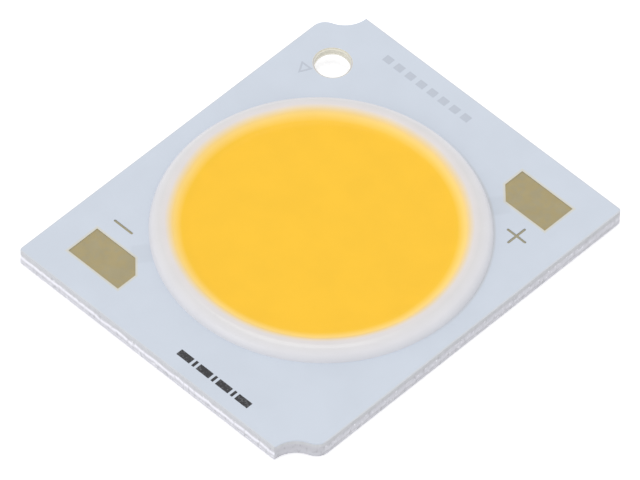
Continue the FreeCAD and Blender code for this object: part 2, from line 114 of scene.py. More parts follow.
class LaminateLooks(bpy.types.PropertyGroup):
    """Colours of the plate, the board and its white mask."""

    mask_colour: colour("Mask", "White mask over the board", 207, 215, 227)
    foot_colour: colour("Ring's foot", "Mask in the ring's shade", 199, 203, 209)
    mask_roughness: share("Mask roughness", "How much the mask spreads its reflections", 0.42)
    thin_mask_colour: colour("Thin mask", "Mask thinned at the pads, plating under it", 214, 212, 200)
    burnished_colour: colour("Burnished metal", "Bright aluminium, smeared by the punch", 246, 246, 251)
    torn_colour: colour("Torn metal", "Rough aluminium where it tore", 208, 208, 214)
    board_colour: colour("Board edge", "Routed outer edge of the board", 211, 213, 217)
    bore_colour: colour("Board bore", "Cream resin in the board's round hole", 236, 233, 220)
    bore_rim_colour: colour("Bore rim", "Bare board between the hole and the mask", 209, 208, 210)
    adhesive_colour: colour("Adhesive", "Adhesive under the board and the dies", 205, 206, 210)
    buried_copper: share("Buried copper", "How far the copper strips darken the mask over them", 0.05)


class CopperLooks(bpy.types.PropertyGroup):
    """Colours of the plated copper."""

    pad_colour: colour("Pads", "Plated solder pads", 172, 158, 118)
    mark_colour: colour("Signs", "Plus and minus signs", 166, 158, 130)
    roughness: share("Roughness", "How much the plating spreads its reflections", 0.5)


class ResinLooks(bpy.types.PropertyGroup):
    """Sizes and colours of the ring and of the phosphor resin in it."""

    bead_half_width: length("Bead half width", "From the ring's crest to its foot", 0.8)
    step_width: length("Step width", "Ring's foot inside the mask's round edge", 0.3)
    window_radius: length("Window radius", "Round window in the board", 6.85)
    flat_height: length("Flat height", "Flat of the resin above the mask", 0.19)
    contact_tilt: angle("Contact tilt", "Slope of the ring where the climbing resin ends", 33)
    ring_colour: colour("Ring", "White silicone bead", 228, 228, 233)
    phosphor_colour: colour("Phosphor", "Yellow phosphor resin", 255, 202, 60)
    roughness: share("Roughness", "How much the resins spread their reflections", 0.2)
    # Painted light: an orange glow that lifts the shade where the phosphor climbs the ring
    painted_glow: share("Glow", "Light that the phosphor gives back where it is thin", 0.03)


class PrintLooks(bpy.types.PropertyGroup):
    """Places and colours of what is printed on the mask."""

    ink_thickness: length("Ink thickness", "Ink above the mask", 0.006)
    stroke: length("Stroke", "Line width of the orientation triangle", 0.1)
    faint_colour: colour("Faint ink", "Grey ink that hardly shows", 190, 197, 209)
    dark_colour: colour("Dark ink", "Black ink", 42, 42, 46)


class StageLooks(bpy.types.PropertyGroup):
    """Floor, light and camera."""

    azimuth: angle("Azimuth", "Camera's turn about the plate, 0 looking along +Y", -47.158)
    elevation: angle("Elevation", "Camera above the horizon", 50.116)
    roll: angle("Roll", "Camera's turn about its view", 1.902)
    distance: length("Distance", "Camera to the plate's middle", 576.179)
    aim_right: length("Aim right", "Plate's middle to the right of the view's middle", 0.0341)
    aim_up: length("Aim up", "Plate's middle above the view's middle", -0.102)
    focal_length: bpy.props.FloatProperty(
        name="Focal length", description="Camera's lens, in millimetres", default=627.8, min=1, max=5000
    )
    floor_colour: colour("Floor", "Pale floor", 244, 244, 246)
    whitening: share("Whitening", "How much whiter the floor looks than it lights", 0.36)
    surround_light: share("Surround light", "Soft light from all round", 0.83)


# Surfaces


def surface_mesh(name, points, faces):
    """A smooth mesh from arrays of points and faces, with creases kept sharp."""
    mesh = bpy.data.meshes.new(name)
    mesh.vertices.add(len(points))
    mesh.vertices.foreach_set("co", np.ascontiguousarray(points, np.float32).ravel())
    sizes = np.array([len(face) for face in faces], np.int32)
    corners = np.concatenate([np.asarray(face, np.int32) for face in faces])
    mesh.loops.add(len(corners))
    mesh.loops.foreach_set("vertex_index", corners)
    mesh.polygons.add(len(sizes))
    mesh.polygons.foreach_set("loop_start", np.concatenate([[0], np.cumsum(sizes)[:-1]]).astype(np.int32))
    mesh.update(calc_edges=True)
    mesh.validate()
    mesh.shade_smooth()
    mesh.set_sharp_from_angle(angle=CREASE)
    return mesh


def place(name, mesh, material, slot, *replaced):
    """A new piece that rides on the body, takes the given material and may stand for CAD nodes, which it
    hides. The slot is not used.
    """
    mesh.materials.append(material)
    piece = bpy.data.objects.new(name, mesh)
    bpy.context.scene.collection.objects.link(piece)
    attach(piece, "root")
    if replaced:
        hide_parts(*replaced)
    return piece


def dress(material, *nodes):
    """Give CAD nodes their material."""
    for name in nodes:
        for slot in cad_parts[name].material_slots:
            slot.material = material


def arc(centre, radius, start, end, steps):
    """Points on an arc. At angle t from the upright they are the centre plus the radius times
    (sine t, cosine t), for evenly spaced t from start to end."""
    angles = np.linspace(start, end, steps)
    return np.stack([centre[0] + radius * np.sin(angles), centre[1] + radius * np.cos(angles)], 1)


def turned_skin(profile, sides, closed):
    """Points and faces of a profile turned about Z. Point (i, j) is at the profile's radius i, at
    angle j of a full turn, and at the profile's height i. A closed profile's end joins its start."""
    angles = np.linspace(0, 2 * math.pi, sides, endpoint=False)
    radii, heights = profile[:, :1], profile[:, 1:]
    points = np.stack([radii * np.cos(angles), radii * np.sin(angles), heights + 0 * angles], 2)
    count = len(profile)
    i, j = np.meshgrid(np.arange(count if closed else count - 1), np.arange(sides), indexing="ij")
    following, beside = (i + 1) % count, (j + 1) % sides
    corners = [i * sides + j, i * sides + beside, following * sides + beside, following * sides + j]
    return points.reshape(-1, 3), np.stack(corners, 2).reshape(-1, 4)


def turned_solid(profile, sides):
    """Points and faces of an open profile turned about Z, with the profile's two ends joined to a
    point on the axis at their own height."""
    points, quads = turned_skin(profile, sides, closed=False)
    poles = np.array([[0, 0, profile[0, 1]], [0, 0, profile[-1, 1]]])
    around = np.arange(sides)
    ahead = (around + 1) % sides
    first, last = len(points), len(points) + 1
    top = len(points) - sides
    low_fan = np.stack([np.full(sides, first), ahead, around], 1)
    high_fan = np.stack([np.full(sides, last), top + around, top + ahead], 1)
    return np.concatenate([points, poles]), [*quads, *low_fan, *high_fan]


def prism(outline, low, high, hole=None):
    """Points and faces of a flat outline thickened from one height to another. With a hole of as
    many corners, the top and bottom are bands between the two outlines."""
    count = len(outline)
    loops = [outline] if hole is None else [outline, hole]
    rings = [np.column_stack([loop, np.full(count, height)]) for loop in loops for height in (low, high)]
    here = np.arange(count)
    ahead = (here + 1) % count

    def band(one, other):
        """Faces between two loops, each given by the number of its first point."""
        return [*np.stack([one + here, one + ahead, other + ahead, other + here], 1)]

    outer_low, outer_high, inner_low, inner_high = (count * turn for turn in range(4))
    faces = band(outer_low, outer_high)
    if hole is None:
        faces += [outer_high + here, outer_low + here[::-1]]
    else:
        faces += band(inner_high, inner_low)
        faces += band(outer_high, inner_high)
        faces += band(inner_low, outer_low)
    return np.concatenate(rings), faces


# Materials


def add(tree, kind, settings=None, **inputs):
    """A shader node with its settings, and with each named input set or linked."""
    node = tree.nodes.new("ShaderNode" + kind)
    for name, setting in (settings or {}).items():
        setattr(node, name, setting)
    for name, given in inputs.items():
        socket = node.inputs[int(name[1:])] if name[0] == "i" and name[1:].isdigit() else node.inputs[name]
        if isinstance(given, bpy.types.NodeSocket):
            tree.links.new(given, socket)
        else:
            socket.default_value = given
    return node


def new_material(name, base, roughness, metallic=0.0):
    """A material of one principled shader. Gives the material, its tree and the shader."""
    material = bpy.data.materials.new(name)
    material.use_nodes = True
    tree = material.node_tree
    shader = tree.nodes["Principled BSDF"]
    shader.inputs["Base Color"].default_value = (*base, 1)
    shader.inputs["Roughness"].default_value = roughness
    shader.inputs["Metallic"].default_value = metallic
    return material, tree, shader


def math_node(tree, operation, first, second=0.0):
    """One sum of two numbers or sockets."""
    return add(tree, "Math", {"operation": operation}, i0=first, i1=second).outputs[0]


def position(tree):
    """Where the shaded point is on the object, in metres."""
    return add(tree, "TexCoord").outputs["Object"]


def axes(tree):
    """The shaded point's X, Y and Z as three sockets."""
    return add(tree, "SeparateXYZ", None, i0=position(tree)).outputs


def towards(tree, direction):
    """How far the shaded point lies from the origin along a direction of length one."""
    product = add(tree, "VectorMath", {"operation": "DOT_PRODUCT"}, i0=position(tree), i1=direction)
    return product.outputs["Value"]


def axis_distance(tree, centre=(0, 0, 0)):
    """The shaded point's distance from an upright axis."""
    flat = add(tree, "VectorMath", {"operation": "MULTIPLY"}, i0=position(tree), i1=(1, 1, 0)).outputs[0]
    return add(tree, "VectorMath", {"operation": "DISTANCE"}, i0=flat, i1=centre).outputs["Value"]


def noise(tree, grain, detail=2.0, stretch=(1, 1, 1)):
    """Cloudy noise whose blobs are about as wide as the grain, in metres."""
    scaled = add(tree, "Mapping", Vector=position(tree), Scale=stretch).outputs[0]
    return add(tree, "TexNoise", None, Vector=scaled, Scale=1 / grain, Detail=detail).outputs["Fac"]


def blend_colours(tree, amount, first, second):
    """A mix of two colours or sockets."""
    mix = tree.nodes.new("ShaderNodeMix")
    mix.data_type = "RGBA"
    for socket, given in ((mix.inputs[0], amount), (mix.inputs[6], first), (mix.inputs[7], second)):
        if isinstance(given, bpy.types.NodeSocket):
            tree.links.new(given, socket)
        else:
            socket.default_value = given if isinstance(given, float) else (*given[:3], 1)
    return mix.outputs[2]


def ramp(tree, amount, stops):
    """A colour ramp over an amount from 0 to 1, with stops of (place, colour)."""
    node = add(tree, "ValToRGB", None, Fac=amount)
    elements = node.color_ramp.elements
    elements[0].position, elements[0].color = stops[0][0], (*stops[0][1], 1)
    elements[1].position, elements[1].color = stops[-1][0], (*stops[-1][1], 1)
    for stop_place, stop_colour in stops[1:-1]:
        elements.new(stop_place).color = (*stop_colour, 1)
    return node.outputs["Color"]


def spread(tree, amount, low, high, to_low=0.0, to_high=1.0):
    """An amount mapped from one span to another, and kept within it."""
    node = add(tree, "MapRange", None, i0=amount, i1=low, i2=high, i3=to_low, i4=to_high)
    return node.outputs[0]


# Spans of the noise's values: nearly all, the middle half or so, the few high ones that make bright flecks
# or thin ink, and the few low ones that make darker spots
ALL_NOISE = (0.3, 0.7)
MIDDLE_NOISE = (0.35, 0.65)
PATCH_NOISE = (0.4, 0.6)
FLECK_NOISE = (0.56, 0.7)
THIN_NOISE = (0.55, 0.8)
DARK_SPOT_NOISE = (0.46, 0.32)


def uneven(tree, grain, least, most, span=ALL_NOISE, **settings):
    """An amount that wanders from a least to a most as the noise crosses a span."""
    return spread(tree, noise(tree, grain, **settings), *span, least, most)


def relief(tree, shader, height, depth):
    """A bump on the shader from a height of 0 to 1 that stands for a depth in metres."""
    bump = add(tree, "Bump", None, Height=height, Distance=depth)
    tree.links.new(bump.outputs["Normal"], shader.inputs["Normal"])


def tinted(tree, shader, first, second, amount):
    """A base colour that wanders between two colours."""
    tree.links.new(blend_colours(tree, amount, first, second), shader.inputs["Base Color"])


# A point that lies this much nearer to the middle than the plate's edge is still on its cut side
SIDE_DEPTH = 0.03 * MM

# The locating hole's axis, and radii just past its wall, just past the mask's window round it and
# well past its bare rim
BORE_AXIS = (8.55 * MM, 7.5 * MM, 0)
BORE_WALL = 0.965 * MM
MASK_WINDOW = 1.06 * MM
BORE_REACH = 1.15 * MM

# The bare rim turns paler over this span towards this side
PALE_SIDE = (0.73, 0.68, 0)
PALE_SPAN = (11.35 * MM, 12.15 * MM)


def within_bore(tree, reach):
    """1 nearer to the locating hole's axis than a reach, and 0 elsewhere."""
    return math_node(tree, "LESS_THAN", axis_distance(tree, BORE_AXIS), reach)


# The plus pad's middle and half sizes. The minus pad is its copy turned half round.
PAD_MIDDLE = (9.2 * MM, -6.37 * MM)
PAD_HALF = (1.05 * MM, 1.8 * MM)
PAD_CHAMFER = 0.82 * MM


def pad_distance(tree):
    """How far the shaded point lies outside the nearer pad. Both places are turned to the +X side,
    and the distance is the largest of those from the pad's five side lines."""
    across, along = axes(tree)[:2]
    side = math_node(tree, "SIGN", across)
    folded = [math_node(tree, "MULTIPLY", part, side) for part in (across, along)]
    outside = []
    for part, middle, half in zip(folded, PAD_MIDDLE, PAD_HALF):
        off = math_node(tree, "ABSOLUTE", math_node(tree, "SUBTRACT", part, middle))
        outside.append(math_node(tree, "SUBTRACT", off, half))
    slope = math_node(tree, "MULTIPLY", math_node(tree, "SUBTRACT", folded[1], folded[0]), math.sqrt(0.5))
    reach = PAD_MIDDLE[1] + PAD_HALF[1] - PAD_CHAMFER - PAD_MIDDLE[0] + PAD_HALF[0]
    cut = math_node(tree, "SUBTRACT", slope, reach * math.sqrt(0.5))
    return math_node(tree, "MAXIMUM", math_node(tree, "MAXIMUM", *outside), cut)


def edge_distance(tree):
    """How far the shaded point lies outside the plate's outline, less than 0 within it."""
    outside = [
        math_node(tree, "SUBTRACT", math_node(tree, "ABSOLUTE", part), reach)
        for part, reach in zip(axes(tree)[:2], PLATE_HIGH[:2])
    ]
    return math_node(tree, "MAXIMUM", *outside)


# Copper strips run under the mask from the ring towards the pads, in line with the ring's middle.
# The mask's darker bands over them have soft edges, this much to each side.
STRIP_HALF_WIDTH = 0.6 * MM
STRIP_END = 9.9 * MM
STRIP_SOFTNESS = 0.1 * MM
STRIP_SIDEWAYS = (6.37 / 11.19, 9.2 / 11.19, 0)

# The mask is thin up to these distances from the pads' edge, and shows the board's colour past these
# distances from the plate's
THINNED = (0.16 * MM, 0.06 * MM)
RIM = (-0.08 * MM, -0.02 * MM)

# The ring's foot shades the mask within these radii, and more and more along this side over a span
FOOT = (9.06 * MM, 8.94 * MM)
FOOT_SIDE = (0.64, -0.77, 0)
FOOT_SPAN = (5.5 * MM, 8.4 * MM)


def strip_shade(tree):
    """1 over the buried copper strips, and 0 elsewhere."""
    beside = math_node(tree, "ABSOLUTE", towards(tree, STRIP_SIDEWAYS))
    over = spread(tree, beside, STRIP_HALF_WIDTH + STRIP_SOFTNESS, STRIP_HALF_WIDTH - STRIP_SOFTNESS)
    out = spread(tree, axis_distance(tree), STRIP_END + STRIP_SOFTNESS, STRIP_END - STRIP_SOFTNESS)
    return math_node(tree, "MULTIPLY", over, out)


def foot_shade(tree):
    """1 at the ring's foot on the side where it shades the mask, and 0 elsewhere."""
    foot = spread(tree, axis_distance(tree), *FOOT)
    return math_node(tree, "MULTIPLY", foot, spread(tree, towards(tree, FOOT_SIDE), *FOOT_SPAN))


def mask_material(looks):
    """White mask: satin and a little uneven. It is a little darker over the buried copper strips and
    at the ring's foot, cream where it is thin at the pads and the hole, and grey at its outer rim."""
    base = tuple(looks.mask_colour)
    material, tree, shader = new_material("white_mask", base, looks.mask_roughness)
    thinned = spread(tree, pad_distance(tree), *THINNED, 0, 0.9)
    coat = blend_colours(tree, thinned, base, tuple(looks.thin_mask_colour))
    coat = blend_colours(tree, within_bore(tree, MASK_WINDOW), coat, tuple(looks.bore_colour))
    coat = blend_colours(tree, foot_shade(tree), coat, tuple(looks.foot_colour))
    rim = spread(tree, edge_distance(tree), *RIM, 0, 0.8)
    coat = blend_colours(tree, rim, coat, tuple(looks.board_colour))
    clouds = uneven(tree, 2.5 * MM, 0, 0.03, MIDDLE_NOISE)
    buried = math_node(tree, "MULTIPLY", strip_shade(tree), looks.buried_copper)
    tinted(tree, shader, coat, BLACK, math_node(tree, "ADD", buried, clouds))
    relief(tree, shader, noise(tree, 0.12 * MM), 0.0015 * MM)
    return material


def shaded(base, levels):
    """Ramp stops of one colour at several levels of light."""
    return [(stop, tuple(channel * level for channel in base)) for stop, level in levels]


# Painted light and shade of the cut metal from the plate's underside to its top, as shares of the torn
# metal's colour. The short sides are painted lighter than the long ones, with a painted highlight high on
# their burnished band.
SHORT_SIDE_LIGHT = (
    (0.0, 1.12),
    (0.14, 1.19),
    (0.3, 1.02),
    (0.46, 1.11),
    (0.56, 1.33),
    (0.72, 1.5),
    (0.8, 1.25),
    (0.88, 1.03),
    (1.0, 0.96),
)
LONG_SIDE_LIGHT = ((0.0, 1.12), (0.15, 1.03), (0.29, 0.89), (0.45, 1.06), (0.71, 1.02), (0.86, 0.97), (1.0, 0.9))
SCALLOP_LIGHT = ((0.0, 1.02), (0.29, 0.99), (0.71, 0.9), (0.86, 0.92), (1.0, 0.99))

# The punch dragged the board's resin down the hole's wall, over this span of heights
DRAGGED = (0.53 * MM, 0.62 * MM)

# The metal's roughness, its metallic share and its dents' depth: torn, and polished in the hole
ROUGHNESS = (0.5, 0.12)
METALLIC = (0.3, 1.0)
DENTED = (1.0, 0.1)


def on_side(tree, part, reach):
    """1 on the cut sides that lie at a reach along one axis, and 0 elsewhere."""
    return math_node(tree, "GREATER_THAN", math_node(tree, "ABSOLUTE", part), reach - SIDE_DEPTH)


def plate_material(looks):
    """Punched aluminium, with its light and shade painted by height and by side. The short sides are
    painted lighter, with a painted highlight along their burnished band, the long sides are torn all over
    with bright flecks that are painted glints, and the hole's wall is smeared bright, with the board's
    resin at its top."""
    torn, burnished = tuple(looks.torn_colour), tuple(looks.burnished_colour)
    material, tree, shader = new_material("aluminium", torn, ROUGHNESS[0])
    across, along, height = axes(tree)
    wander = uneven(tree, 1.1 * MM, -0.07 * MM, 0.07 * MM, stretch=(1, 1, 0.05))
    band = spread(tree, math_node(tree, "ADD", height, wander), 0, PLATE_HIGH.z)
    # Bright flecks of burnished colour on the cut sides: painted glints of the torn metal
    flecks = uneven(tree, 0.17 * MM, 0, 0.7, FLECK_NOISE, detail=3)
    # Painted light and shade: each kind of cut surface takes its own levels of light by height
    shown = ramp(tree, band, shaded(torn, SCALLOP_LIGHT))
    for part, reach, levels in ((across, PLATE_HIGH.x, SHORT_SIDE_LIGHT), (along, PLATE_HIGH.y, LONG_SIDE_LIGHT)):
        flecked = blend_colours(tree, flecks, ramp(tree, band, shaded(torn, levels)), burnished)
        shown = blend_colours(tree, on_side(tree, part, reach), shown, flecked)
    # Darker spots scattered over the metal
    dark_spots = uneven(tree, 0.2 * MM, 0, 0.2, DARK_SPOT_NOISE, detail=3, stretch=(1, 1, 0.5))
    shown = blend_colours(tree, dark_spots, shown, BLACK)
    dragged = spread(tree, height, *DRAGGED)
    walled = blend_colours(tree, dragged, WHITE, tuple(looks.bore_colour))
    bore = within_bore(tree, BORE_REACH)
    tree.links.new(blend_colours(tree, bore, shown, walled), shader.inputs["Base Color"])
    polished = math_node(tree, "MULTIPLY", bore, math_node(tree, "SUBTRACT", 1.0, dragged))
    tree.links.new(spread(tree, polished, 0, 1, *ROUGHNESS), shader.inputs["Roughness"])
    tree.links.new(spread(tree, polished, 0, 1, *METALLIC), shader.inputs["Metallic"])
    rough = math_node(tree, "MULTIPLY", noise(tree, 0.08 * MM, detail=4), spread(tree, bore, 0, 1, *DENTED))
    relief(tree, shader, rough, 0.012 * MM)
    return material


def cut_resin_material(name, looks, base):
    """The cut edge of a thin resin layer, with faint upright streaks and painted shade that makes the long
    sides a little darker. It is cream in the hole, with a grey rim where it is bare at the top."""
    material, tree, shader = new_material(name, base, 0.6)
    cream = tuple(looks.bore_colour)
    paler = spread(tree, towards(tree, PALE_SIDE), *PALE_SPAN)
    rim = blend_colours(tree, paler, tuple(looks.bore_rim_colour), cream)
    rimmed = blend_colours(tree, within_bore(tree, BORE_REACH), base, rim)
    shown = blend_colours(tree, within_bore(tree, BORE_WALL), rimmed, cream)
    streaks = uneven(tree, 0.15 * MM, 0, 0.07, stretch=(1, 1, 0.1))
    # Painted shade: the long sides are darkened
    long_side_shade = math_node(tree, "MULTIPLY", on_side(tree, axes(tree)[1], PLATE_HIGH.y), 0.07)
    tinted(tree, shader, shown, BLACK, math_node(tree, "ADD", streaks, long_side_shade))
    relief(tree, shader, noise(tree, 0.1 * MM), 0.002 * MM)
    return material


def plating_material(name, base, roughness):
    """Plated copper: satin, with the fine grain of the foil under it."""
    material, tree, shader = new_material(name, base, roughness, metallic=0.55)
    greyer = (base[0] * 0.95, base[1] * 0.99, base[2] * 1.12)
    patches = uneven(tree, 0.4 * MM, 0, 1, PATCH_NOISE, detail=3)
    clouds = uneven(tree, 0.7 * MM, 0, 0.06, detail=4)
    tinted(tree, shader, blend_colours(tree, patches, base, greyer), BLACK, clouds)
    relief(tree, shader, noise(tree, 0.06 * MM, detail=3), 0.004 * MM)
    return material


# The yellow resin was poured a little off the ring's centre
POUR_CENTRE = (-0.026 * MM, 0.073 * MM, 0)

# Its yellow fades as it thins up the ring, and ends a little below the ring's crest. From the phosphor's
# colour to the ring's own, over this span of distances from the pour's centre in millimetres, the resins
# pass these display colours. Besides the real fading, these colours hold painted light that lifts the shade
# of the slopes, where the resin climbs the ring and on the bead's outer flank.
TINT_SPAN = (6.9, 8.9)
TINT_AND_LIGHT_STOPS = (
    (7.1, (254, 203, 62)),
    (7.3, (255, 212, 98)),
    (7.5, (255, 221, 130)),
    (7.6, (251, 220, 143)),
    (8.0, (228, 222, 221)),
    (8.3, (223, 221, 222)),
    (8.7, (231, 230, 234)),
)

# Painted light: the thin resin glows orange where it climbs the ring, lifting the shade of its slope, with
# this strength by the same distance
PAINTED_GLOW_COLOUR = (1, 0.25, 0, 1)
PAINTED_GLOW_STOPS = ((6.9, 0.0), (7.1, 0.1), (7.35, 1.0), (7.55, 1.0), (7.8, 0.0), (8.9, 0.0))

# The ring is glossier on this side: its specular level there grows over this span along the side
# and over this span of radii, and is nowhere under the least level
GLOSSY_SIDE = (-0.86, -0.51, 0)
GLOSSY_SPAN = (3 * MM, 7.5 * MM)
GLOSSY_RADII = (7.2 * MM, 8.1 * MM)
GLOSSY_LEVELS = (0.1, 0.5)
LEAST_GLOSS = 0.12


def radial_ramp(tree, stops):
    """A ramp over the distance from the pour's centre, with stops of (millimetres, colour)."""
    low, high = stops[0][0], stops[-1][0]
    wander = uneven(tree, 3 * MM, -0.03 * MM, 0.03 * MM)
    out = math_node(tree, "ADD", axis_distance(tree, POUR_CENTRE), wander)
    shares = [((radius - low) / (high - low), shown) for radius, shown in stops]
    return ramp(tree, spread(tree, out, low * MM, high * MM), shares)


def resin_material(name, looks, base):
    """Resin whose colour goes from phosphor yellow to the ring's white, with painted light in those colours
    and in an orange glow that lifts the shade where the phosphor climbs the ring. The ring is the glossier.
    """
    material, tree, shader = new_material(name, base, looks.roughness)
    between = [(radius, linear(*shown)) for radius, shown in TINT_AND_LIGHT_STOPS]
    first, last = (TINT_SPAN[0], tuple(looks.phosphor_colour)), (TINT_SPAN[1], tuple(looks.ring_colour))
    tint_and_light = radial_ramp(tree, [first, *between, last])
    tinted(tree, shader, tint_and_light, BLACK, uneven(tree, 1.6 * MM, 0, 0.03))
    # Painted light: the glow lifts the shaded climb
    painted_glow = radial_ramp(tree, [(radius, (level,) * 3) for radius, level in PAINTED_GLOW_STOPS])
    shader.inputs["Emission Color"].default_value = PAINTED_GLOW_COLOUR
    tree.links.new(math_node(tree, "MULTIPLY", painted_glow, looks.painted_glow), shader.inputs["Emission Strength"])
    gloss = spread(tree, towards(tree, GLOSSY_SIDE), *GLOSSY_SPAN, *GLOSSY_LEVELS)
    gloss = math_node(tree, "MULTIPLY", gloss, spread(tree, axis_distance(tree), *GLOSSY_RADII))
    gloss = math_node(tree, "MAXIMUM", gloss, LEAST_GLOSS)
    tree.links.new(gloss, shader.inputs["Specular IOR Level"])
    relief(tree, shader, noise(tree, 0.9 * MM, detail=1), 0.004 * MM)
    return material


def ink_material(name, base):
    """Printed ink, thin at places."""
    material, tree, shader = new_material(name, base, 0.55)
    thin = uneven(tree, 0.12 * MM, 0, 0.25, THIN_NOISE)
    tinted(tree, shader, base, (0.6, 0.62, 0.66), thin)
    return material


def crystal_material():
    """Clear die crystal with its darker contact layer showing through."""
    clear = linear(150, 170, 205)
    material, tree, shader = new_material("die_crystal", clear, 0.15)
    shader.inputs["Transmission Weight"].default_value = 0.4
    streaks = uneven(tree, 0.2 * MM, 0, 0.3, MIDDLE_NOISE)
    tinted(tree, shader, clear, linear(90, 110, 150), streaks)
    return material


# Operators


class LIGHTSOURCE_OT_laminate(bpy.types.Operator):
    """Dress the plate, the adhesive, the board and the mask"""

    bl_idname = "lightsource.laminate"
    bl_label = "Plate and board"

    def execute(self, context):
        looks = context.scene.lightsource_laminate
        dress(plate_material(looks), "base_plate")
        dress(cut_resin_material("board_resin", looks, tuple(looks.board_colour)), "circuit_board")
        dress(cut_resin_material("adhesive", looks, tuple(looks.adhesive_colour)), "bonding_sheet")
        dress(mask_material(looks), "solder_mask")
        return {"FINISHED"}


class LIGHTSOURCE_OT_copper(bpy.types.Operator):
    """Dress the plated copper of the pads and the signs"""

    bl_idname = "lightsource.copper"
    bl_label = "Pads and signs"

    def execute(self, context):
        looks = context.scene.lightsource_copper
        pads = plating_material("gold_pads", tuple(looks.pad_colour), looks.roughness)
        marks = plating_material("gold_marks", tuple(looks.mark_colour), looks.roughness)
        dress(pads, "anode_circuit", "cathode_circuit")
        dress(marks, "plus_mark", "minus_mark")
        return {"FINISHED"}


class LIGHTSOURCE_OT_die_array(bpy.types.Operator):
    """Dress the dies, their adhesive and their wires"""

    bl_idname = "lightsource.die_array"
    bl_label = "Dies and wires"

    def execute(self, context):
        looks = context.scene.lightsource_laminate
        crystal = crystal_material()
        bond = cut_resin_material("die_adhesive", looks, tuple(looks.adhesive_colour))
        wire = plating_material("gold_wire", linear(230, 190, 95), 0.25)
        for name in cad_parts:
            for start, material in (("dies_row", crystal), ("die_bond_row", bond), ("wires_row", wire)):
                if name.startswith(start):
                    dress(material, name)
        return {"FINISHED"}


# Points along the ring's bead, its flank below the resin, the climb and the flat, and the power that
# shapes the climb
BEAD_POINTS = 33
FLANK_POINTS = 12
CLIMB_POINTS = 24
FLAT_RINGS = 8
CLIMB_POWER = 2.5


def bead_arc(looks):
    """Centre, radius and half angle of the bead's arc, which passes through both feet and the crest.
    The radius is (half width squared plus height squared) over twice the height."""
    half_width, height = looks.bead_half_width, RING_HIGH.z - MASK_TOP
    radius = (half_width**2 + height**2) / (2 * height)
    crest = RING_HIGH.x - half_width
    return (crest, RING_HIGH.z - radius), radius, math.asin(half_width / radius)


class LIGHTSOURCE_OT_ring(bpy.types.Operator):
    """Make the white resin ring as a smooth bead"""

    bl_idname = "lightsource.ring"
    bl_label = "Resin ring"

    def execute(self, context):
        looks = context.scene.lightsource_resin
        centre, radius, half_angle = bead_arc(looks)
        bead = arc(centre, radius, half_angle, -half_angle, BEAD_POINTS)
        inner = bead[-1, 0]
        outer = inner + looks.step_width
        step = np.array([(inner, BOARD_TOP), (outer, BOARD_TOP), (outer, MASK_TOP)])
        points, faces = turned_skin(np.concatenate([bead, step]), TURN_SIDES, closed=True)
        material = resin_material("ring_resin", looks, tuple(looks.ring_colour))
        place("resin_ring", surface_mesh("resin_ring", points, faces), material, "ring_resin", "dam_ring")
        return {"FINISHED"}


def climbing_curve(top, flat, slope):
    """Points from the top of a climb inwards to the flat. At a share s of the way the height above the
    flat is the climb times s to a power, and the width is the power times the climb over the slope at
    the top, so that the curve leaves the flat unseen and meets the ring along its flank."""
    climb = top[1] - flat
    width = CLIMB_POWER * climb / slope
    shares = np.linspace(1, 0, CLIMB_POINTS)
    return np.stack([top[0] - width * (1 - shares), flat + climb * shares**CLIMB_POWER], 1)


class LIGHTSOURCE_OT_phosphor(bpy.types.Operator):
    """Make the phosphor resin, whose edge climbs the ring in a hollow curve"""

    bl_idname = "lightsource.phosphor"
    bl_label = "Phosphor resin"

    def execute(self, context):
        looks = context.scene.lightsource_resin
        bead_centre, bead_radius, half_angle = bead_arc(looks)
        flat = MASK_TOP + looks.flat_height
        flank = arc(bead_centre, bead_radius, -half_angle, -looks.contact_tilt, FLANK_POINTS)
        climb = climbing_curve(flank[-1], flat, math.tan(looks.contact_tilt))
        window, inner = looks.window_radius, flank[0, 0]
        foot = np.array([(window, PLATE_HIGH.z), (window, BOARD_TOP), (inner, BOARD_TOP)])
        radii = np.linspace(climb[-1, 0], 0, FLAT_RINGS + 1)[1:-1]
        flat_part = np.column_stack([radii, np.full(len(radii), flat)])
        profile = np.concatenate([foot, flank, climb[1:], flat_part])
        points, faces = turned_solid(profile, TURN_SIDES)
        material = resin_material("phosphor", looks, tuple(looks.phosphor_colour))
        mesh = surface_mesh("phosphor_resin", points, faces)
        place("phosphor_resin", mesh, material, "phosphor", "phosphor_fill")
        return {"FINISHED"}


# Corners of the orientation triangle, in millimetres on the mask
TRIANGLE = ((7.462, 8.016), (7.449, 8.642), (6.886, 8.303))

# The two rows of bars, in millimetres on the mask: the row's middle, its bars' widths, the gap
# between them and their height
DARK_ROW = ((-10.97, -3.1), (0.9, 0.16, 0.9, 0.16, 0.9, 0.16, 0.9), 0.16, 0.42)
FAINT_ROW = ((10.78, 2.8), (0.5,) * 8, 0.3, 0.45)


def shrunk(corners, margin):
    """A triangle's corners moved in, so that each side moves by the margin: about the incentre, by
    one less the margin over the inscribed circle's radius."""
    corners = np.array(corners)
    sides = np.linalg.norm(np.roll(corners, -1, 0) - np.roll(corners, -2, 0), axis=1)
    incentre = (sides[:, None] * corners).sum(0) / sides.sum()
    one, two = corners[1] - corners[0], corners[2] - corners[0]
    area = abs(one[0] * two[1] - one[1] * two[0]) / 2
    inscribed = 2 * area / sides.sum()
    return incentre + (corners - incentre) * (1 - margin / inscribed)


def bars(middle, widths, gap, height, ink):
    """Plain bars in a row along Y, of the given widths and of one height along X, about a middle."""
    left, right = middle[0] - height / 2, middle[0] + height / 2
    low = middle[1] - (sum(widths) + gap * (len(widths) - 1)) / 2
    points, faces, count = [], [], 0
    for width in widths:
        high = low + width
        outline = np.array([(left, low), (right, low), (right, high), (left, high)]) * MM
        bar_points, bar_faces = prism(outline, MASK_TOP, MASK_TOP + ink)
        points.append(bar_points)
        faces += [np.asarray(face) + count for face in bar_faces]
        count += len(bar_points)
        low = high + gap
    return np.concatenate(points), faces


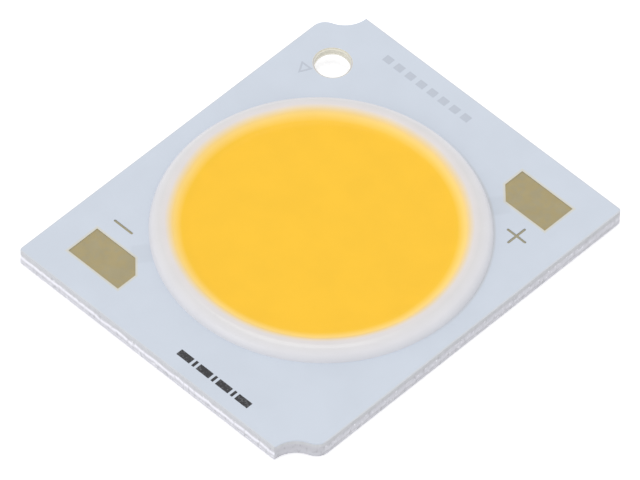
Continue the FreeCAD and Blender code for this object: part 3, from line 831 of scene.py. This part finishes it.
class LIGHTSOURCE_OT_prints(bpy.types.Operator):
    """Print the orientation triangle and two rows of plain bars on the mask"""

    bl_idname = "lightsource.prints"
    bl_label = "Prints"

    def execute(self, context):
        looks = context.scene.lightsource_print
        faint = ink_material("faint_ink", tuple(looks.faint_colour))
        dark = ink_material("dark_ink", tuple(looks.dark_colour))
        ink = looks.ink_thickness
        half = looks.stroke / MM / 2
        outer, inner = shrunk(TRIANGLE, -half) * MM, shrunk(TRIANGLE, half) * MM
        triangle = prism(outer, MASK_TOP, MASK_TOP + ink, inner)
        place("orientation_triangle", surface_mesh("orientation_triangle", *triangle), faint, "white_mask")
        place("dark_bars", surface_mesh("dark_bars", *bars(*DARK_ROW, ink)), dark, "white_mask")
        place("faint_bars", surface_mesh("faint_bars", *bars(*FAINT_ROW, ink)), faint, "white_mask")
        return {"FINISHED"}


# The floor's reach in metres, and how far it lies under the plate
FLOOR_REACH = 3.0
FLOOR_DROP = 0.02 * MM

# Lamps, each with its direction from the object, its distance and size in metres, and its watts
LAMPS = {
    "overhead_lamp": ((0.14, 0.19, 0.97), 0.6, 0.3, 0.56),
    "left_lamp": ((-0.9, 0.1, 0.4), 0.6, 0.35, 0.35),
}

# The camera's sensor in millimetres, and how near and far it sees in metres
SENSOR_WIDTH = 36
CLIP = (0.01, 20)


def seen_by(tree, *rays):
    """1 for the light rays of the given kinds, and 0 for the others."""
    path = add(tree, "LightPath")
    seen = path.outputs[f"Is {rays[0]} Ray"]
    for kind in rays[1:]:
        seen = math_node(tree, "MAXIMUM", seen, path.outputs[f"Is {kind} Ray"])
    return seen


def make_floor(looks):
    """A wide pale floor that shows white to the camera and keeps the object's soft shadow."""
    outline = np.array([(-1, -1), (1, -1), (1, 1), (-1, 1)]) * FLOOR_REACH
    points = np.column_stack([outline, np.full(4, -FLOOR_DROP)])
    mesh = surface_mesh("floor", points, [np.arange(4)])
    material, tree, shader = new_material("floor", tuple(looks.floor_colour), 0.9)
    seen = seen_by(tree, "Camera", "Glossy", "Transmission")
    shader.inputs["Emission Color"].default_value = (*WHITE, 1)
    tree.links.new(math_node(tree, "MULTIPLY", seen, looks.whitening), shader.inputs["Emission Strength"])
    mesh.materials.append(material)
    floor = bpy.data.objects.new("floor", mesh)
    bpy.context.scene.collection.objects.link(floor)


def light_surround(scene, looks):
    """Soft light from all round, which the camera sees as white."""
    world = bpy.data.worlds.new("surround")
    scene.world = world
    world.use_nodes = True
    tree = world.node_tree
    background = tree.nodes["Background"]
    background.inputs["Color"].default_value = (*WHITE, 1)
    strength = spread(tree, seen_by(tree, "Camera", "Transmission"), 0, 1, looks.surround_light, 1.0)
    tree.links.new(strength, background.inputs["Strength"])


def soft_lamp(name, direction, distance, size, power):
    """A square lamp in a direction from the object, facing it."""
    lamp = bpy.data.lights.new(name, "AREA")
    lamp.size, lamp.energy = size, power
    holder = bpy.data.objects.new(name, lamp)
    heading = Vector(direction).normalized()
    holder.location = heading * distance
    holder.rotation_euler = heading.to_track_quat("Z", "Y").to_euler()
    bpy.context.scene.collection.objects.link(holder)


def make_camera(scene, looks):
    """The camera, from its turn, height, roll and distance. Back points from the object to it."""
    turn, rise, roll = looks.azimuth, looks.elevation, looks.roll
    back = Vector((math.sin(turn) * math.cos(rise), -math.cos(turn) * math.cos(rise), math.sin(rise)))
    level = Vector((math.cos(turn), math.sin(turn), 0))
    upright = back.cross(level)
    right = level * math.cos(roll) + upright * math.sin(roll)
    up = upright * math.cos(roll) - level * math.sin(roll)
    camera = bpy.data.cameras.new("camera")
    camera.lens, camera.sensor_width = looks.focal_length, SENSOR_WIDTH
    camera.clip_start, camera.clip_end = CLIP
    holder = bpy.data.objects.new("camera", camera)
    facing = Matrix((right, up, back)).transposed().to_4x4()
    where = back * looks.distance - right * looks.aim_right - up * looks.aim_up
    holder.matrix_world = Matrix.Translation(where) @ facing
    scene.collection.objects.link(holder)
    scene.camera = holder


class LIGHTSOURCE_OT_stage(bpy.types.Operator):
    """Lay the floor, light it softly and set the camera"""

    bl_idname = "lightsource.stage"
    bl_label = "Stage"

    def execute(self, context):
        scene = context.scene
        looks = scene.lightsource_stage
        scene.view_settings.view_transform = "Standard"
        make_floor(looks)
        light_surround(scene, looks)
        for name, row in LAMPS.items():
            soft_lamp(name, *row)
        make_camera(scene, looks)
        return {"FINISHED"}


class LIGHTSOURCE_PT_panel(bpy.types.Panel):
    """Lists the sizes and colours, and the steps that make the light source"""

    bl_idname = "LIGHTSOURCE_PT_panel"
    bl_label = "Light Source"
    bl_space_type = "VIEW_3D"
    bl_region_type = "UI"
    bl_category = "Light Source"

    def draw(self, context):
        layout = self.layout
        for name, kind in GROUPS.items():
            box = layout.box()
            looks = getattr(context.scene, name)
            for setting in kind.__annotations__:
                box.prop(looks, setting)
        for step in STEPS:
            layout.operator(step.bl_idname)


# The property groups by their names on the scene, and the operators in the order of building
GROUPS = {
    "lightsource_laminate": LaminateLooks,
    "lightsource_copper": CopperLooks,
    "lightsource_resin": ResinLooks,
    "lightsource_print": PrintLooks,
    "lightsource_stage": StageLooks,
}
STEPS = (
    LIGHTSOURCE_OT_laminate,
    LIGHTSOURCE_OT_copper,
    LIGHTSOURCE_OT_die_array,
    LIGHTSOURCE_OT_ring,
    LIGHTSOURCE_OT_phosphor,
    LIGHTSOURCE_OT_prints,
    LIGHTSOURCE_OT_stage,
)


def register():
    """Register the classes and hang the property groups on the scene."""
    for kind in (*GROUPS.values(), *STEPS, LIGHTSOURCE_PT_panel):
        bpy.utils.register_class(kind)
    for name, kind in GROUPS.items():
        setattr(bpy.types.Scene, name, bpy.props.PointerProperty(type=kind))


def unregister():
    """Take the property groups off the scene and unregister the classes."""
    for name in GROUPS:
        delattr(bpy.types.Scene, name)
    for kind in (LIGHTSOURCE_PT_panel, *reversed(STEPS), *reversed(GROUPS.values())):
        bpy.utils.unregister_class(kind)


def main():
    """Make every piece and the stage."""
    register()
    for step in STEPS:
        family, name = step.bl_idname.split(".")
        getattr(getattr(bpy.ops, family), name)()


if __name__ == "__main__":
    main()
